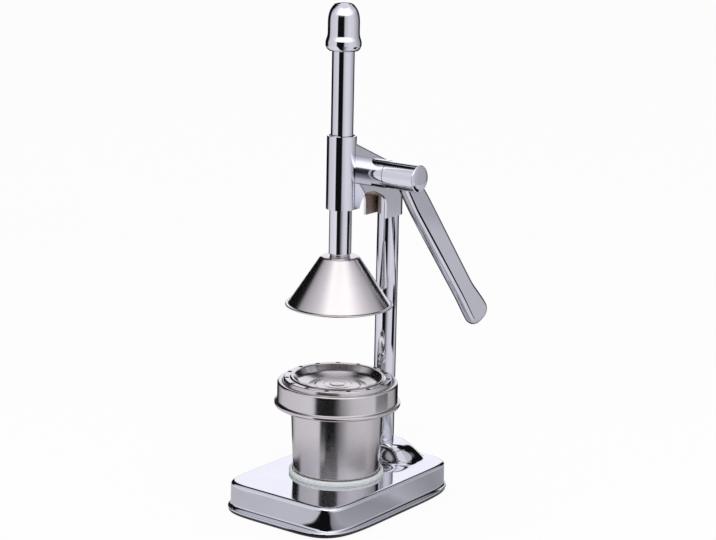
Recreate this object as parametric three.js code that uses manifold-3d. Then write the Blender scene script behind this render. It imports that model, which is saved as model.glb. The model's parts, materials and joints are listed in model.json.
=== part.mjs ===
// Lever citrus juice press: a rack and pinion press on one column, over a cup with a strainer.
// Millimetres, +Z up. The origin is on the bench, under the axis of the ram.
// The user stands at -Y, the column is at +Y and the lever is on the +X side.

import * as THREE from 'three';
import { mergeVertices } from 'three/addons/utils/BufferGeometryUtils.js';
import Module from 'manifold-3d';

const wasm = await Module();
wasm.setup();

// Values that all pieces share
const gap = 0.3; // clearance between pieces that touch, slide or turn
const overrun = 2; // how far a cut runs past the face that it opens
const fineSides = 40; // sides of the wide round pieces
const rodSides = 32; // sides of the rods and what fits on them
const coarseSides = 20; // sides of small and hidden round pieces
const arcSteps = 3; // steps of a quarter round in a profile

// Base: a die-cast tray with bowed sides, a flared foot and a hump under the column
const footHalfWidth = 65.4;
const footHalfLength = 93.2;
const footCentreY = 4.6; // middle of the foot from the ram's axis
const footBowPower = 5; // power of the bowed outline: 2 is an ellipse
const topBowPower = 8.4;
const baseHeight = 25; // bench to the flat top
const baseWall = 3;
const padThickness = 2.2;
const padInset = 0.6;
const footLipThickness = 1.8;
const footFlareHeight = 3;
const wallLeanX = 5.5; // how far the top edge stands inside the foot
const wallLeanY = 7;
const topEdgeRadius = 3.2;
const topShiftY = 0.3; // how far back the flat top lies over the foot
const humpHeight = 13.5;
const humpHalfWidth = 44;
const humpFrontGap = 1; // from the cup's seat ring to the hump's foot
const humpRearGap = 3.4; // from the hump's foot to the rear edge of the base
const humpPower = 3; // power of the hump's oval foot
const humpFullness = 1.5; // 1 is a plain wave, more is fuller near the top
const seatRadius = 11.5; // flat land under the column
const baseOutlinePoints = 56;

// Column with its tie rod
const columnRadius = 9.5;
const columnWall = 2;
const columnY = 67.7; // from the ram's axis
const tieRodRadius = 4;
const tieRodGrip = 13; // thread in the head
const tieRodTail = 3; // thread below the nut
const footWasherRadius = 10.5;
const footWasherThickness = 3;
const nutFlats = 13;
const nutHeight = 6.5;

// Head: one casting with a sleeve for the ram, a web and a socket for the column
const sleeveRadius = 12.65;
const sleeveTopRise = 76.3; // of the sleeve's top over the socket's bottom
const sleeveLength = 61.8;
const sleeveBore = 11;
const webTopRise = 72.5; // of the sloped top, on the ram's axis, over the socket's bottom
const webSlope = 0.437;
const socketBottom = 242;
const socketDepth = 20; // how far the column goes in
const cheekThickness = 2.85;
const cheekReach = 19.3; // front of the cheeks from the column's axis
const archRise = 27.3; // of the arch over the socket's bottom
const archPeakY = 25;
const archFrontY = 15.1;
const archShoulder = 12; // straight part of the cheek's front edge
const tailY = 9.8;
const bossRadius = 11.8;
const bossEnd = 32; // +X end face of the shaft's boss
const rearBossLength = 5; // short boss on the -X side
const pocketWall = 3.45; // wall between the gear pocket and the web's side

// Rack, pinion and shaft
const shaftY = 24;
const shaftRise = 44; // of the shaft over the socket's bottom
const shaftRadius = 6;
const gearModule = 1.35;
const gearTeeth = 20;
const pressureAngle = 20; // degrees
const addendumShare = 0.88; // of the module
const dedendumShare = 1.2; // of the module
const backlash = 0.24;
const pinionWidth = 16;
const pocketClearance = 0.5;
const shaftBushWall = 1.7;
const shaftTail = 2.6; // shaft beyond the -X boss
const shaftWasherRadius = 10;
const shaftWasherThickness = 0.8;
const circlipThickness = 1;
const circlipRadius = 8.2;
const circlipOpening = 60; // degrees
const circlipGrooveDepth = 0.8;
const rackWidth = 6;
const rackAboveShaft = 86;
const rackBelowShaft = 24;
const rackSeat = 7.8; // flat on the rod, from its axis

// Ram: rod, cap and cone-shaped hood
const rodRadius = 9.5;
const rodBore = 5.5;
const rodInCap = 12.7;
const ramBushWall = 0.9;
const ramBushLength = 12;
const ramBushRecess = 2.3; // from the sleeve's end face
const capAboveShaft = 102.75; // from the shaft's axis to the cap's lower face
const capHeight = 39.8;
const capBeadRadius = 15.15;
const capShares = [ // outline from the lower edge up, as shares of the bead's radius and the height
  [0.85, 0], [0.94, 0.06], [1, 0.125], [0.98, 0.21], [0.905, 0.29], [0.884, 0.38],
  [0.881, 0.62], [0.863, 0.7], [0.805, 0.78], [0.718, 0.862], [0.57, 0.94], [0.38, 0.972],
];
const hoodBelowShaft = 112.3; // from the shaft's axis down to the hood's rim
const hoodHeight = 42.3;
const hoodWall = 1.2;
const hoodTopRadius = 16.2;
const hoodShoulder = 3.2;
const hoodFootRadius = 43.2;
const hoodFlangeRadius = 45.7;
const hoodFlangeThickness = 1.4;
const hoodCollarHeight = 1.8;
const hoodCollarInset = 1.1; // from the rod's surface
const hoodBoltRadius = 4;
const hoodBoltLength = 21;
const hoodBoltHead = 5.3;
const hoodWasherRadius = 9;
const hoodWasherThickness = 2;
const ramPlugLength = 26;

// Lever with its hub
const hubRadius = 11.5;
const hubEnd = 64;
const hubCapDepth = 5;
const hubCapRise = 1.1;
const hubCapRim = 1.2; // thickness of the rim that covers the hub's end
const hubCapInset = 1.9; // from the hub's surface to the seat of the cap's plug
const armCentreX = 47.7;
const armThickness = 10;
const armNeckHalfWidth = 10.6;
const armHalfWidth = 12.3;
const armWaistHalfWidth = 11.6;
const armLength = 188.5; // shaft axis to tip
const armEndRadius = 13.6;
const armEndDepth = 12.5; // of the blunt end
const armEndLean = 1.2; // of the paddle towards the back
const armEndSkew = 3; // how far the paddle's back corner reaches past its middle
const armEndPower = 2.5; // 2 is an ellipse, more is blunter
const armWaistShare = 0.76; // of the length, where the arm is narrowest
const armShoulderShare = 0.2; // of the length, where the arm is full width
const armStations = 12; // places along the arm where its width is set
const leverRestAngle = 39.2; // degrees behind straight down
const grubRadius = 2.5;

// Cup and its seat
const cupCollarSpace = 10.2; // from the cup's rim to the inside of the collar
const cupTaper = 2.8; // narrower at the bottom, on the radius
const cupWall = 1;
const cupCorner = 4;
const seatRingWidth = 3.4; // outside the cup's foot
const seatRingHeight = 3.8;
const seatLedgeHeight = 1.5;
const seatLedgeWidth = 4;
const seatGrooveHeight = 1;
const seatGrooveDepth = 0.4;

// Strainer: a collar and a funnel that sit on the cup, and a perforated dish that lies in them
const collarRadius = 51.5;
const collarTop = 106.9;
const collarBottom = 86.3;
const collarWall = 1.2;
const beadOut = 2.4;
const beadHeight = 4;
const collarShoulder = 2.6;
const ledgeInset = 4.3; // from the collar's side
const ledgeWidth = 3.2;
const ledgeDrop = 1.4; // from the collar's top to the ledge
const spoutInset = 11.9; // from the cup's rim
const spoutTop = 91;
const spoutBottom = 84;
const funnelWall = 1; // of the funnel under the collar's ledge
const funnelFlange = 2.4;
const dishEdgeThickness = 1.2;
const dishHoleInset = 3.8; // from the ledge's radius
const dishHoleRadius = 2;
const dishHoleCount = 15;
const dishFirstHole = 1.4; // degrees from the front
const dishRidgeInset = 8; // from the ledge's radius
const dishRidgeHeight = 5; // above the ledge
const dishRidgeHalfWidth = 1.8;
const dishGutterHeight = 4.6; // of the flat with the drain holes, above the ledge
const dishSkirtLean = 1.2; // of the dish's outer wall
const dishLipDrop = 1.8;
const dishFloorInset = 15.2; // from the ridge's radius
const dishFloorDrop = 7.8; // below the ridge
const dishDomeRise = 3.2;

// Values that follow from the ones above
const seatZ = baseHeight + humpHeight;
const sleeveTop = socketBottom + sleeveTopRise;
const webTopAtSleeve = socketBottom + webTopRise;
const archTop = socketBottom + archRise;
const shaftZ = socketBottom + shaftRise;
const rackTop = shaftZ + rackAboveShaft;
const rackBottom = shaftZ - rackBelowShaft;
const capBottom = shaftZ + capAboveShaft;
const hoodRimBottom = shaftZ - hoodBelowShaft;
const sleeveBottom = sleeveTop - sleeveLength;
const columnTop = socketBottom + socketDepth;
const headRear = columnY + sleeveRadius;
const pitchRadius = (gearModule * gearTeeth) / 2;
const tipRadius = pitchRadius + gearModule * addendumShare;
const rootRadius = pitchRadius - gearModule * dedendumShare;
const pitchLineY = shaftY - pitchRadius;
const bushRadius = shaftRadius + gap + shaftBushWall;
const pocketHalfWidth = sleeveRadius - pocketWall;
const hoodTop = hoodRimBottom + hoodHeight;
const rodBottom = hoodTop + hoodCollarHeight;
const cupTopRadius = collarRadius - collarWall - cupCollarSpace;
const cupBottomRadius = cupTopRadius - cupTaper;
const seatRingRadius = cupBottomRadius + seatRingWidth;
const humpFrontReach = columnY - seatRingRadius - humpFrontGap;
const ledgeRadius = collarRadius - ledgeInset;
const spoutRadius = cupTopRadius - spoutInset;
const dishHoleCircle = ledgeRadius - dishHoleInset;
const dishRidgeRadius = ledgeRadius - dishRidgeInset;
const dishFloorRadius = dishRidgeRadius - dishFloorInset;
const ledgeZ = collarTop - ledgeDrop;
const coneRadius = ledgeRadius - ledgeWidth;
const funnelTop = ledgeZ - collarWall;
const spoutInner = spoutRadius - funnelWall;
const coneSlope = (funnelTop - spoutTop) / (coneRadius - spoutInner);
const coneWall = funnelWall * Math.hypot(1, coneSlope);
const cupRimInner = cupTopRadius - cupWall;
const cupTop = funnelTop - coneWall - coneSlope * (coneRadius - cupRimInner) - gap;

const chrome = { color: 0xc9cad3, roughness: 0.08, metalness: 1 };
const satin = { color: 0xb9b4b4, roughness: 0.32, metalness: 1 };
const steel = { color: 0x8f9196, roughness: 0.4, metalness: 1 };
const bronze = { color: 0x9a7442, roughness: 0.45, metalness: 1 };
const nylon = { color: 0xe4e4de, roughness: 0.5, metalness: 0 };
const rubber = { color: 0x17171a, roughness: 0.75, metalness: 0 };
const frosted = { color: 0xcfdde2, roughness: 0.45, metalness: 0 };

// A geometry reduced to one closed skin whose faces point out
function closed(geometry) {
  const bare = geometry.clone();
  bare.deleteAttribute('normal');
  bare.deleteAttribute('uv');
  const merged = mergeVertices(bare, 1e-4);
  const source = merged.index.array;
  const kept = [];
  for (let i = 0; i < source.length; i += 3) {
    const [a, b, c] = [source[i], source[i + 1], source[i + 2]];
    if (a !== b && b !== c && c !== a) kept.push(a, b, c);
  }
  const p = merged.attributes.position;
  const corner = [new THREE.Vector3(), new THREE.Vector3(), new THREE.Vector3()];
  let volume = 0;
  for (let i = 0; i < kept.length; i += 3) {
    corner.forEach((v, k) => v.fromBufferAttribute(p, kept[i + k]));
    volume += corner[0].dot(corner[1].clone().cross(corner[2]));
  }
  if (volume < 0) kept.reverse();
  merged.setIndex(kept);
  return merged;
}

function toSolid(geometry) {
  const skin = closed(geometry);
  return new wasm.Manifold(new wasm.Mesh({
    numProp: 3,
    vertProperties: new Float32Array(skin.attributes.position.array),
    triVerts: new Uint32Array(skin.index.array),
  }));
}

function fromSolid(solid) {
  const mesh = solid.getMesh();
  const geometry = new THREE.BufferGeometry();
  geometry.setAttribute('position', new THREE.BufferAttribute(new Float32Array(mesh.vertProperties), 3));
  geometry.setIndex(Array.from(mesh.triVerts));
  return geometry;
}

function join(...geometries) {
  return fromSolid(geometries.map(toSolid).reduce((a, b) => a.add(b)));
}

function cut(body, ...tools) {
  return fromSolid(tools.map(toSolid).reduce((a, b) => a.subtract(b), toSolid(body)));
}

function common(a, b) {
  return fromSolid(toSolid(a).intersect(toSolid(b)));
}

// A solid of revolution about Z from [radius, height] pairs
function lathe(profile, sides = fineSides) {
  const points = profile.map(([r, z]) => new THREE.Vector2(r, z));
  const geometry = new THREE.LatheGeometry(points, sides);
  geometry.rotateX(Math.PI / 2);
  return closed(geometry);
}

// A ring profile closes on itself
function ring(profile, sides = fineSides) {
  return lathe([...profile, profile[0]], sides);
}

function tube(inner, outer, z0, z1, sides = fineSides) {
  return ring([[inner, z0], [outer, z0], [outer, z1], [inner, z1]], sides);
}

function post(radius, z0, z1, sides = fineSides) {
  return lathe([[0, z0], [radius, z0], [radius, z1], [0, z1]], sides);
}

// Turns a piece made along Z so that it lies along X
function alongX(geometry) {
  return geometry.clone().rotateY(Math.PI / 2);
}

function block([x0, x1], [y0, y1], [z0, z1]) {
  const geometry = new THREE.BoxGeometry(x1 - x0, y1 - y0, z1 - z0);
  geometry.translate((x0 + x1) / 2, (y0 + y1) / 2, (z0 + z1) / 2);
  return geometry;
}

// Extrudes a (Y, Z) outline along X between x0 and x1, with rounded edges if edge is given
function prismX(shape, x0, x1, edge = 0) {
  const geometry = new THREE.ExtrudeGeometry(shape, {
    depth: x1 - x0 - 2 * edge,
    bevelEnabled: edge > 0,
    bevelThickness: edge,
    bevelSize: edge,
    bevelOffset: -edge,
    bevelSegments: arcSteps,
    curveSegments: 2 * arcSteps,
  });
  geometry.translate(0, 0, x0 + edge);
  const turn = new THREE.Matrix4().makeBasis(
    new THREE.Vector3(0, 1, 0), new THREE.Vector3(0, 0, 1), new THREE.Vector3(1, 0, 0));
  return geometry.applyMatrix4(turn);
}

function prismZ(shape, z0, z1) {
  const options = { depth: z1 - z0, bevelEnabled: false, curveSegments: 2 * arcSteps };
  return new THREE.ExtrudeGeometry(shape, options).translate(0, 0, z0);
}

// Points of an arc in a profile, angles in degrees
function arc(r, z, radius, from, to, steps = arcSteps) {
  return Array.from({ length: steps + 1 }, (_, i) => {
    const angle = THREE.MathUtils.degToRad(from + ((to - from) * i) / steps);
    return [r + radius * Math.cos(angle), z + radius * Math.sin(angle)];
  });
}

function hexagon(flats, z0, z1) {
  const corners = 6;
  const radius = flats / 2 / Math.cos(Math.PI / corners);
  return post(radius, z0, z1, corners);
}

// The bowed outline of the base as one ring of points; lift runs from the foot to the top
function baseRing(inset, z, lift = 0) {
  const bowed = (value, power) => Math.sign(value) * Math.abs(value) ** (2 / power);
  const at = (angle, leanX, leanY, middle, power) => [
    (footHalfWidth - leanX - inset) * bowed(Math.cos(angle), power),
    middle + (footHalfLength - leanY - inset) * bowed(Math.sin(angle), power),
  ];
  return Array.from({ length: baseOutlinePoints }, (_, i) => {
    const angle = (2 * Math.PI * (i + 0.5)) / baseOutlinePoints;
    const foot = at(angle, 0, 0, footCentreY, footBowPower);
    const top = at(angle, wallLeanX, wallLeanY, footCentreY + topShiftY, topBowPower);
    return [...foot.map((value, k) => value + lift * (top[k] - value)), z];
  });
}

// The swelling that carries the column: a round land above an oval foot, drop below the outside
function hump(drop) {
  const steps = 8;
  const topRear = footCentreY + topShiftY + footHalfLength - wallLeanY;
  const rearReach = topRear - humpRearGap - columnY;
  const level = (share, z) => Array.from({ length: rodSides }, (_, i) => {
    const angle = (2 * Math.PI * i) / rodSides;
    const ahead = Math.sin(angle) < 0 ? humpFrontReach : rearReach;
    const part = (value, far) => (Math.abs(value) / far) ** humpPower;
    const oval = (part(Math.cos(angle), humpHalfWidth) + part(Math.sin(angle), ahead)) ** (-1 / humpPower);
    const reach = seatRadius + (oval - seatRadius) * share;
    return [reach * Math.cos(angle), columnY + reach * Math.sin(angle), z - drop];
  });
  const flank = Array.from({ length: steps + 1 }, (_, i) =>
    level(i / steps, baseHeight + humpHeight * (0.5 + 0.5 * Math.cos(Math.PI * (i / steps) ** humpFullness))));
  return skinOver([...flank, level(1, baseHeight - baseWall / 2)]);
}

// A skin over stacked rings of equally many points, closed at both ends by a fan, or by
// flat faces in the (Y, Z) plane where the outline isn't star-shaped
function skinOver(rings, flatEnds = false) {
  const count = rings[0].length;
  const ends = [rings[0], rings[rings.length - 1]];
  const middle = (points) => [0, 1, 2].map((k) => points.reduce((sum, p) => sum + p[k], 0) / count);
  const points = [...rings.flat(), ...ends.map(middle)];
  const faces = [];
  for (let k = 0; k + 1 < rings.length; k += 1) {
    for (let i = 0; i < count; i += 1) {
      const j = (i + 1) % count;
      const [a, b, c, d] = [k * count + i, k * count + j, (k + 1) * count + j, (k + 1) * count + i];
      faces.push(a, b, c, a, c, d);
    }
  }
  const first = rings.length * count;
  const last = (rings.length - 1) * count;
  if (flatEnds) {
    const contour = ends[0].map(([, y, z]) => new THREE.Vector2(y, z));
    const leftTurning = THREE.ShapeUtils.area(contour) > 0;
    for (const face of THREE.ShapeUtils.triangulateShape(contour, [])) {
      const back = [...face].reverse();
      const [near, far] = leftTurning ? [back, face] : [face, back];
      faces.push(...near, ...far.map((n) => last + n));
    }
  } else {
    for (let i = 0; i < count; i += 1) {
      const j = (i + 1) % count;
      faces.push(first, j, i, first + 1, last + i, last + j);
    }
  }
  const geometry = new THREE.BufferGeometry();
  geometry.setAttribute('position', new THREE.Float32BufferAttribute(points.flat(), 3));
  geometry.setIndex(faces);
  return closed(geometry);
}

function baseShell() {
  const lipTop = padThickness + footLipThickness;
  const bend = arc(-topEdgeRadius, baseHeight - topEdgeRadius, topEdgeRadius, 0, 90);
  const flareShares = [[0.22, 0.1], [0.6, 0.35], [0.9, 1]];
  const outside = [
    baseRing(0, padThickness), baseRing(0, lipTop),
    ...flareShares.map(([lift, rise]) => baseRing(0, lipTop + footFlareHeight * rise, lift)),
    ...bend.map(([out, z]) => baseRing(-out, z, 1)),
  ];
  const inside = [
    baseRing(baseWall, padThickness, 0.6),
    ...bend.map(([out, z]) => baseRing(baseWall - out, z - baseWall, 1)),
  ];
  const atColumn = (geometry) => geometry.translate(0, columnY, 0);
  const relief = atColumn(post(seatRadius, baseHeight - baseWall, seatZ - baseWall, rodSides));
  const boltHole = atColumn(post(tieRodRadius + gap, 0, seatZ + overrun, coarseSides));
  const shell = join(skinOver(outside), hump(0));
  return cut(shell, skinOver(inside), hump(baseWall), relief, boltHole);
}

function basePad() {
  return skinOver([baseRing(padInset, 0), baseRing(padInset, padThickness)]);
}

// The web's sloped top, as a height over the distance from the ram's axis
function webTop(y) {
  return webTopAtSleeve - webSlope * y;
}

function headSide() {
  const cheekFront = columnY - cheekReach;
  const shape = new THREE.Shape();
  shape.moveTo(0, sleeveBottom);
  shape.lineTo(tailY, sleeveBottom);
  shape.lineTo(archFrontY, archTop - gearModule * 3);
  shape.quadraticCurveTo(archFrontY + gearModule, archTop, archPeakY, archTop);
  const cheekTop = socketBottom + archShoulder;
  shape.bezierCurveTo(archPeakY + 0.34 * (cheekFront - archPeakY), archTop,
    cheekFront, cheekTop + 0.52 * (archTop - cheekTop), cheekFront, cheekTop);
  shape.lineTo(cheekFront, socketBottom);
  shape.lineTo(headRear, socketBottom);
  shape.lineTo(headRear, webTop(headRear));
  shape.lineTo(0, webTop(0));
  return shape;
}

// The head seen from above: straight sides with a round end behind the column
function headPlan() {
  const shape = new THREE.Shape();
  shape.moveTo(-sleeveRadius, 0);
  shape.lineTo(sleeveRadius, 0);
  shape.lineTo(sleeveRadius, columnY);
  shape.absarc(0, columnY, sleeveRadius, 0, Math.PI);
  return shape;
}

// The socket's inside: open to the front, round behind the column
function socketPlan() {
  const inner = sleeveRadius - cheekThickness;
  const shape = new THREE.Shape();
  shape.moveTo(-inner, columnY - cheekReach - overrun);
  shape.lineTo(inner, columnY - cheekReach - overrun);
  shape.lineTo(inner, columnY);
  shape.absarc(0, columnY, inner, 0, Math.PI);
  return shape;
}

function headCasting() {
  const web = common(
    prismX(headSide(), -sleeveRadius, sleeveRadius),
    prismZ(headPlan(), socketBottom - overrun, sleeveTop + overrun));
  const rearBossEnd = -sleeveRadius - rearBossLength;
  const boss = alongX(post(bossRadius, rearBossEnd, bossEnd, rodSides)).translate(0, shaftY, shaftZ);
  const pocketRadius = tipRadius + pocketClearance;
  const pocket = alongX(post(pocketRadius, -pocketHalfWidth, pocketHalfWidth, rodSides))
    .translate(0, shaftY, shaftZ);
  const pocketMouth = block([-pocketHalfWidth, pocketHalfWidth],
    [shaftY - pocketRadius, shaftY + pocketRadius], [sleeveBottom - overrun, shaftZ]);
  const shaftBore = alongX(post(bushRadius + gap, rearBossEnd - overrun, bossEnd + overrun, coarseSides))
    .translate(0, shaftY, shaftZ);
  const keyway = block([-rackWidth / 2 - gap, rackWidth / 2 + gap],
    [0, pitchLineY + gearModule * addendumShare + gap], [sleeveBottom - overrun, sleeveTop + overrun]);
  const socket = prismZ(socketPlan(), socketBottom - overrun, columnTop);
  const tieHole = post(tieRodRadius + gap, columnTop - overrun, columnTop + tieRodGrip + gap, coarseSides)
    .translate(0, columnY, 0);
  return cut(
    join(post(sleeveRadius, sleeveBottom, sleeveTop, rodSides), web, boss),
    post(sleeveBore, sleeveBottom - overrun, sleeveTop + overrun, rodSides),
    keyway, pocket, pocketMouth, shaftBore, socket, tieHole);
}

// Liner of the sleeve, open at the back for the rack
function ramBush() {
  const outer = sleeveBore - gap;
  const liner = tube(outer - ramBushWall, outer, 0, ramBushLength, rodSides);
  const slot = block([-rackWidth / 2 - gap, rackWidth / 2 + gap], [0, sleeveRadius],
    [-overrun, ramBushLength + overrun]);
  return cut(liner, slot);
}

function involute(angle) {
  return Math.tan(angle) - angle;
}

// Pinion outline with a gap between teeth at the rack side
function pinionShape() {
  const alpha = THREE.MathUtils.degToRad(pressureAngle);
  const baseRadius = pitchRadius * Math.cos(alpha);
  const halfTooth = Math.PI / 2 / gearTeeth - backlash / 4 / pitchRadius;
  const halfAt = (r) => halfTooth + involute(alpha) - involute(Math.acos(Math.min(1, baseRadius / r)));
  const radii = [rootRadius, baseRadius, pitchRadius, tipRadius];
  const shape = new THREE.Shape();
  for (let tooth = 0; tooth < gearTeeth; tooth += 1) {
    const middle = Math.PI + ((tooth + 0.5) * 2 * Math.PI) / gearTeeth;
    const rise = radii.map((r) => [r, middle - halfAt(r)]);
    const fall = radii.map((r) => [r, middle + halfAt(r)]).reverse();
    for (const [r, angle] of [...rise, ...fall]) {
      const point = [r * Math.cos(angle), r * Math.sin(angle)];
      if (shape.curves.length === 0 && shape.currentPoint.length() === 0) shape.moveTo(...point);
      else shape.lineTo(...point);
    }
  }
  const bore = new THREE.Path();
  bore.absarc(0, 0, shaftRadius + gap, 0, 2 * Math.PI);
  shape.holes.push(bore);
  return shape;
}

// Rack: straight teeth on a strip that lies on the flat of the rod
function rackShape() {
  const pitch = Math.PI * gearModule;
  const tip = pitchLineY + gearModule * addendumShare;
  const root = pitchLineY - gearModule * dedendumShare;
  const slope = Math.tan(THREE.MathUtils.degToRad(pressureAngle));
  const halfPitchLine = pitch / 4 - backlash / 4;
  const halfTip = halfPitchLine - slope * (tip - pitchLineY);
  const halfRoot = halfPitchLine + slope * (pitchLineY - root);
  const shape = new THREE.Shape();
  shape.moveTo(rackSeat, rackBottom);
  shape.lineTo(root, rackBottom);
  const first = Math.ceil((rackBottom + halfRoot - shaftZ) / pitch);
  const last = Math.floor((rackTop - halfRoot - shaftZ) / pitch);
  for (let k = first; k <= last; k += 1) {
    const middle = shaftZ + k * pitch;
    shape.lineTo(root, middle - halfRoot);
    shape.lineTo(tip, middle - halfTip);
    shape.lineTo(tip, middle + halfTip);
    shape.lineTo(root, middle + halfRoot);
  }
  shape.lineTo(root, rackTop);
  shape.lineTo(rackSeat, rackTop);
  return shape;
}

function ramRod() {
  const rod = tube(rodBore, rodRadius, rodBottom, capBottom + rodInCap, rodSides);
  const flat = block([-rodRadius, rodRadius], [rackSeat, rodRadius + overrun],
    [rackBottom - gap, rackTop + gap]);
  return cut(rod, flat);
}

function ramCap() {
  const bore = rodRadius + gap;
  const boreTop = rodInCap + gap;
  const outside = capShares.map(([out, up]) => [capBeadRadius * out, capHeight * up]);
  return lathe([[0, boreTop], [bore, boreTop], [bore, 0], ...outside, [0, capHeight]], rodSides);
}

function pressHood() {
  const hole = hoodBoltRadius + gap;
  const outer = [
    [hole, hoodHeight],
    [hoodTopRadius - hoodShoulder, hoodHeight],
    [hoodTopRadius - hoodShoulder / 4, hoodHeight - hoodShoulder / 4],
    [hoodTopRadius, hoodHeight - hoodShoulder],
    [hoodFootRadius, hoodFlangeThickness],
    [hoodFlangeRadius, hoodFlangeThickness],
    [hoodFlangeRadius, 0],
  ];
  const inner = [
    [hoodFootRadius - hoodWall, 0],
    [hoodTopRadius - hoodWall * 1.3, hoodHeight - hoodShoulder - hoodWall / 2],
    [hoodTopRadius - hoodShoulder, hoodHeight - hoodWall],
    [hole, hoodHeight - hoodWall],
  ];
  return ring([...outer, ...inner]);
}

function hoodBolt() {
  const shank = post(hoodBoltRadius, -overrun, hoodBoltLength, coarseSides);
  return join(shank, hexagon(nutFlats, -hoodBoltHead, 0));
}

// Half the arm's width at a distance from the shaft
function armHalfWidthAt(distance) {
  const waist = armLength * armWaistShare;
  const shoulder = armLength * armShoulderShare;
  const end = armLength - armEndDepth;
  const ease = (from, to, a, b) => a + (b - a) * THREE.MathUtils.smoothstep(distance, from, to);
  if (distance < shoulder) return ease(0, shoulder, armNeckHalfWidth, armHalfWidth);
  if (distance < waist) return ease(shoulder, waist, armHalfWidth, armWaistHalfWidth);
  return ease(waist, end, armWaistHalfWidth, armEndRadius);
}

// The arm hangs straight down from the shaft: outlines stacked along X, with round edges
function arm() {
  const end = armLength - armEndDepth;
  const edge = armThickness / 2;
  const leanAt = (distance) =>
    armEndLean * THREE.MathUtils.smoothstep(distance, armLength * armWaistShare, end);
  const outline = ([out, x]) => {
    const inset = edge - out;
    const side = (sign) => Array.from({ length: armStations }, (_, i) => {
      const distance = (end * i) / armStations;
      return [leanAt(distance) + sign * (armHalfWidthAt(distance) - inset), -distance];
    });
    const blunt = (value) => Math.sign(value) * Math.abs(value) ** (2 / armEndPower);
    const tip = arc(0, 0, 1, 0, -180, 4 * arcSteps).map(([y, z]) => [
      armEndLean + (armEndRadius - inset) * blunt(y), -end + (armEndDepth - inset) * blunt(z)]);
    const waist = armLength * armWaistShare;
    const skewAt = (y, z) =>
      (armEndSkew * y * THREE.MathUtils.smoothstep(-z, waist, end)) / armEndRadius;
    return [...side(1), ...tip, ...side(-1).reverse()]
      .map(([y, z]) => [armCentreX + x, y, z - skewAt(y, z)]);
  };
  return skinOver(arc(0, 0, edge, 90, -90, 2 * arcSteps).map(outline), true);
}

function leverArm() {
  const hub = alongX(post(hubRadius, bossEnd + gap, hubEnd - hubCapRise - hubCapRim, rodSides));
  const bore = alongX(post(shaftRadius + gap, bossEnd - overrun, hubEnd, coarseSides));
  const capSeat = alongX(post(hubRadius - hubCapInset, hubEnd - hubCapDepth, hubEnd + overrun, rodSides));
  const grubHole = post(grubRadius + gap, 0, hubRadius + overrun, coarseSides)
    .rotateX(-Math.PI / 2).translate(armCentreX, 0, 0);
  return cut(join(arm(), hub), bore, capSeat, grubHole);
}

function hubCap() {
  const radius = hubRadius - hubCapInset - gap;
  const bottom = hubEnd - hubCapDepth + gap;
  const rim = hubEnd - hubCapRise - hubCapRim;
  return alongX(lathe([
    [0, bottom], [radius, bottom], [radius, rim], [hubRadius, rim], [hubRadius, rim + hubCapRim],
    [hubRadius * 0.92, hubEnd - hubCapRise / 2], [hubRadius * 0.6, hubEnd - hubCapRise / 8], [0, hubEnd],
  ], rodSides));
}

function shaftCirclip() {
  const inner = shaftRadius - circlipGrooveDepth + gap;
  const halfOpening = THREE.MathUtils.degToRad(circlipOpening / 2);
  const shape = new THREE.Shape();
  shape.absarc(0, 0, circlipRadius, halfOpening, 2 * Math.PI - halfOpening);
  shape.absarc(0, 0, inner, 2 * Math.PI - halfOpening, halfOpening, true);
  return prismX(shape, 0, circlipThickness);
}

function leverShaft() {
  const left = -sleeveRadius - rearBossLength - shaftTail;
  const right = hubEnd - hubCapDepth - gap;
  const washerFace = -sleeveRadius - rearBossLength - gap - shaftWasherThickness;
  const grooveRadius = shaftRadius - circlipGrooveDepth;
  const grooveEnd = washerFace - circlipThickness - 2 * gap;
  return alongX(lathe([
    [0, left], [shaftRadius, left], [shaftRadius, grooveEnd], [grooveRadius, grooveEnd],
    [grooveRadius, washerFace], [shaftRadius, washerFace], [shaftRadius, right], [0, right],
  ], coarseSides));
}

function cupSeatRing() {
  const inner = cupBottomRadius + 2 * gap;
  const groove = seatRingRadius - seatGrooveDepth;
  return ring([
    [inner - seatLedgeWidth, 0], [seatRingRadius, 0],
    [seatRingRadius, seatGrooveHeight - seatGrooveDepth / 2], [groove, seatGrooveHeight],
    [seatRingRadius, seatGrooveHeight + seatGrooveDepth / 2],
    [seatRingRadius, seatRingHeight - seatGrooveDepth],
    [seatRingRadius - seatGrooveDepth, seatRingHeight],
    [inner, seatRingHeight], [inner, seatLedgeHeight], [inner - seatLedgeWidth, seatLedgeHeight],
  ]);
}

function cup(height) {
  const corner = arc(cupBottomRadius - cupCorner, cupCorner, cupCorner, -90, 0);
  const innerCorner = arc(cupBottomRadius - cupCorner, cupCorner, cupCorner - cupWall, 0, -90);
  return lathe([
    [0, 0], ...corner, [cupTopRadius, height], [cupTopRadius - cupWall, height],
    ...innerCorner, [0, cupWall],
  ]);
}

function strainerCollar() {
  const innerWall = collarRadius - collarWall;
  const shoulderZ = collarTop - collarShoulder;
  const shoulderR = collarRadius - collarShoulder;
  const beadTop = collarBottom + beadHeight;
  return ring([
    [innerWall, collarBottom], [collarRadius + beadOut / 2, collarBottom],
    [collarRadius + beadOut, collarBottom + beadHeight / 3],
    [collarRadius + beadOut, beadTop - beadHeight / 3], [collarRadius, beadTop],
    ...arc(shoulderR, shoulderZ, collarShoulder, 0, 90),
    [ledgeRadius, ledgeZ], [coneRadius, ledgeZ], [coneRadius, funnelTop],
    [shoulderR, funnelTop], [innerWall, shoulderZ],
  ]);
}

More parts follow.
